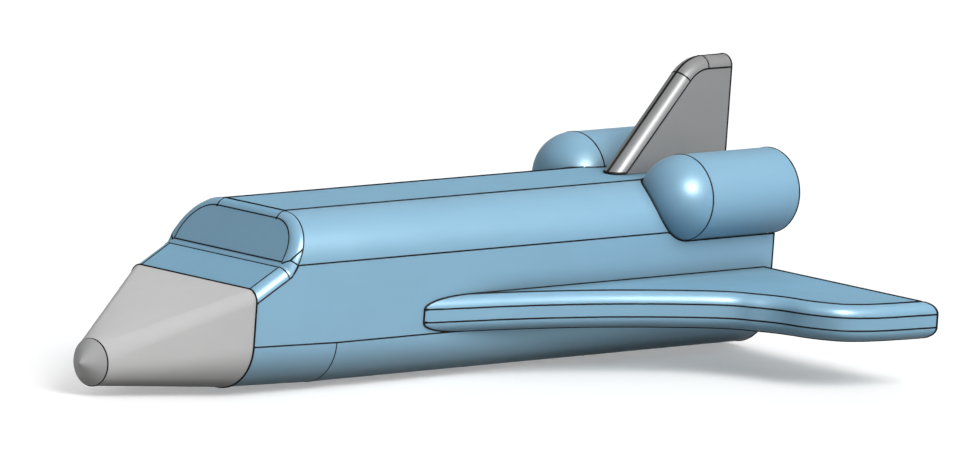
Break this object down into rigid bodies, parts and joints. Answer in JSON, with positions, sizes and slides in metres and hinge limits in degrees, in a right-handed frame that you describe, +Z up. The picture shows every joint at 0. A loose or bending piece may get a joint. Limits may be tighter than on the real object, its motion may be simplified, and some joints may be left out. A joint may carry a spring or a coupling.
{
  "type": "toy space shuttle",
  "caption": "Moulded plastic toy space shuttle with slab wings, swept fin, twin pods, stepped cockpit and free-rolling belly wheels.",
  "frame": {"origin": "on the floor under the middle of the overall bounding box, wheels resting on z = 0", "axes": "+X to the nose, +Y to port, +Z up"},
  "size_m": [0.3058, 0.2128, 0.0974],
  "materials": {
    "sky_blue_plastic": "satin moulded plastic, light blue",
    "screen_blue_plastic": "satin moulded plastic, blue in shade",
    "nose_grey_plastic": "satin moulded plastic, light grey",
    "tip_grey_plastic": "satin moulded plastic, light grey",
    "fin_grey_plastic": "glossy moulded plastic, mid grey",
    "tail_grey_plastic": "satin moulded plastic, dark grey",
    "bell_grey_plastic": "satin moulded plastic, near black",
    "wheel_black_plastic": "matte moulded plastic, black",
    "axle_steel": "drawn steel wire"
  },
  "bodies": {
    "airframe": {"fuselage_upper": "sky_blue_plastic", "roof_panel": "sky_blue_plastic", "windscreen": "screen_blue_plastic", "belly_front": "sky_blue_plastic", "belly_rear": "sky_blue_plastic", "nose_cone": "nose_grey_plastic", "nose_tip": "tip_grey_plastic", "wing_port": "sky_blue_plastic", "wing_starboard": "sky_blue_plastic", "pod_port": "sky_blue_plastic", "pod_starboard": "sky_blue_plastic", "pod_dome_port": "sky_blue_plastic", "pod_dome_starboard": "sky_blue_plastic", "fin": "fin_grey_plastic", "tail_plate": "tail_grey_plastic", "engine_bell_top": "bell_grey_plastic", "engine_bell_port": "bell_grey_plastic", "engine_bell_starboard": "bell_grey_plastic", "pod_bell_port": "bell_grey_plastic", "pod_bell_starboard": "bell_grey_plastic"},
    "front_wheels": {"front_axle": "axle_steel", "front_wheel_port": "wheel_black_plastic", "front_wheel_starboard": "wheel_black_plastic"},
    "main_wheels": {"main_axle": "axle_steel", "main_wheel_port": "wheel_black_plastic", "main_wheel_starboard": "wheel_black_plastic"}
  },
  "joints": [
    {"name": "front_wheels_roll", "type": "hinge", "parent": "airframe", "child": "front_wheels", "pos_m": [0.0781, 0, 0.006], "axis": [0, 1, 0], "continuous": true},
    {"name": "main_wheels_roll", "type": "hinge", "parent": "airframe", "child": "main_wheels", "pos_m": [-0.0769, 0, 0.006], "axis": [0, 1, 0], "continuous": true}
  ]
}
